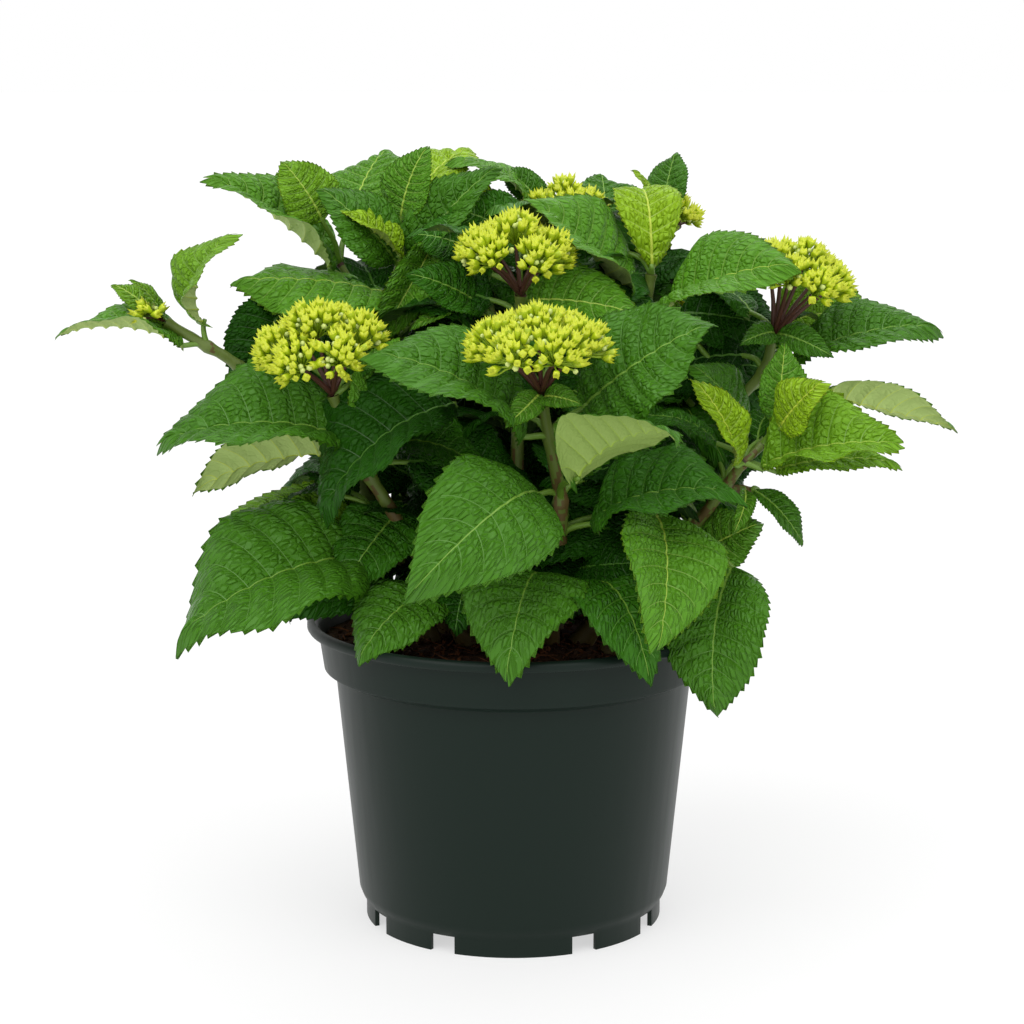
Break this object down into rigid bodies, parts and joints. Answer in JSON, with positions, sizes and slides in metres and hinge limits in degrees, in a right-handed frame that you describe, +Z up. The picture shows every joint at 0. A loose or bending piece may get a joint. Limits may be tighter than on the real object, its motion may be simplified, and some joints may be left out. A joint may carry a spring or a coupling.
{
  "type": "potted flowering shrub",
  "caption": "leafy mophead hydrangea in green bud, a broad open crown of large toothed leaves on slender stems, in a tapering round nursery pot with a collared rim",
  "frame": {"origin": "the middle of the pot's foot, on the plane that the feet stand on; the crown is centred over it", "axes": "+Z up along the pot's axis, -Y towards the front of the plant, +X to the right seen from the front"},
  "size_m": [0.512, 0.3802, 0.45],
  "materials": {
    "pot": "satin",
    "compost": "matte",
    "stem": "satin",
    "leaf": "satin"
  },
  "bodies": {
    "root": {"compost": "compost", "foliage_back": "leaf", "foliage_back_left": "leaf", "foliage_back_left_low": "leaf", "foliage_back_low": "leaf", "foliage_back_right": "leaf", "foliage_back_right_low": "leaf", "foliage_back_top": "leaf", "foliage_front_left": "leaf", "foliage_front_low": "leaf", "foliage_front_right": "leaf", "foliage_left": "leaf", "foliage_left_low": "leaf", "foliage_left_tip": "leaf", "foliage_right": "leaf", "foliage_right_low": "leaf", "foliage_right_mid": "leaf", "foliage_top": "leaf", "foliage_upper_left": "leaf", "foliage_upper_right": "leaf", "pot": "pot", "stem_back": "stem", "stem_back_left": "stem", "stem_back_left_low": "stem", "stem_back_low": "stem", "stem_back_right": "stem", "stem_back_right_low": "stem", "stem_front": "stem", "stem_front_left": "stem", "stem_front_low": "stem", "stem_left": "stem", "stem_left_long": "stem", "stem_left_low": "stem", "stem_right": "stem", "stem_right_low": "stem", "stem_right_mid": "stem", "stem_top": "stem", "stem_top_back": "stem", "stem_upper_left": "stem", "stem_upper_right": "stem"}
  },
  "joints": []
}
